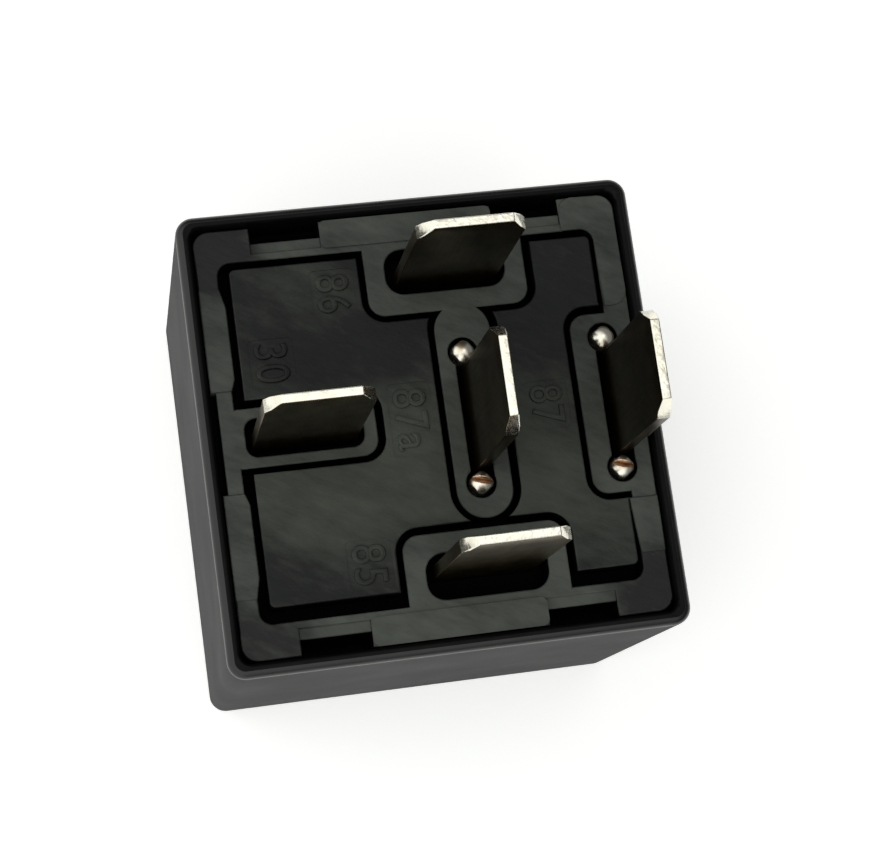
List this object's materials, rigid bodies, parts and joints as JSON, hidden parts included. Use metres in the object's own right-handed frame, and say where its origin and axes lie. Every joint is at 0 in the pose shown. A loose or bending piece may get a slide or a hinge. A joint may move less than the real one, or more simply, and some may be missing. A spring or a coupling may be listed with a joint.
{
  "type": "automotive relay",
  "caption": "Square plug-in changeover relay: black moulded cover, recessed moulded base, flat tinned blades, and a hinged armature that moves the contact inside.",
  "frame": {"origin": "middle of the cover's closed face, on which the relay stands", "axes": "+Z along the blades, away from the closed face; +X from blade 30 towards blade 87; +Y from blade 85 towards blade 86"},
  "size_m": [0.028, 0.028, 0.0363],
  "materials": {
    "cover_plastic": "moulded black nylon, satin",
    "base_plastic": "moulded dark grey polyester, satin",
    "bobbin_plastic": "moulded natural nylon",
    "tinned_brass": "stamped brass, dull tin plate",
    "tinned_rivet": "upset copper rivet, tinned",
    "copper_rivet": "bare copper rivet",
    "soft_iron": "zinc-plated soft iron",
    "copper_wire": "enamelled copper wire",
    "spring_bronze": "rolled bronze sheet",
    "contact_silver": "silver alloy contact"
  },
  "bodies": {
    "housing": {"cover": "cover_plastic", "base": "base_plastic", "terminal_30": "tinned_brass", "terminal_85": "tinned_brass", "terminal_86": "tinned_brass", "terminal_87": "tinned_brass", "terminal_87a": "tinned_brass", "rivets_87": "tinned_rivet", "rivets_87a": "tinned_rivet", "terminal_30_rivets": "copper_rivet", "yoke": "soft_iron", "core": "soft_iron", "bobbin": "bobbin_plastic", "coil_winding": "copper_wire", "coil_lead_85": "copper_wire", "coil_lead_86": "copper_wire", "yoke_rivets": "soft_iron", "contact_no": "contact_silver", "contact_nc": "contact_silver"},
    "armature_unit": {"armature": "soft_iron", "armature_rivets": "soft_iron", "moving_contact": "contact_silver", "contact_spring": "spring_bronze"}
  },
  "joints": [
    {"name": "armature_hinge", "type": "hinge", "parent": "housing", "child": "armature_unit", "pos_m": [-0.0119, 0, 0.0063], "axis": [0, -1, 0], "range_deg": [0, 2.32], "stiffness_Nm_per_rad": 0.02, "springref_deg": -28.65, "deforming": ["contact_spring"]}
  ]
}
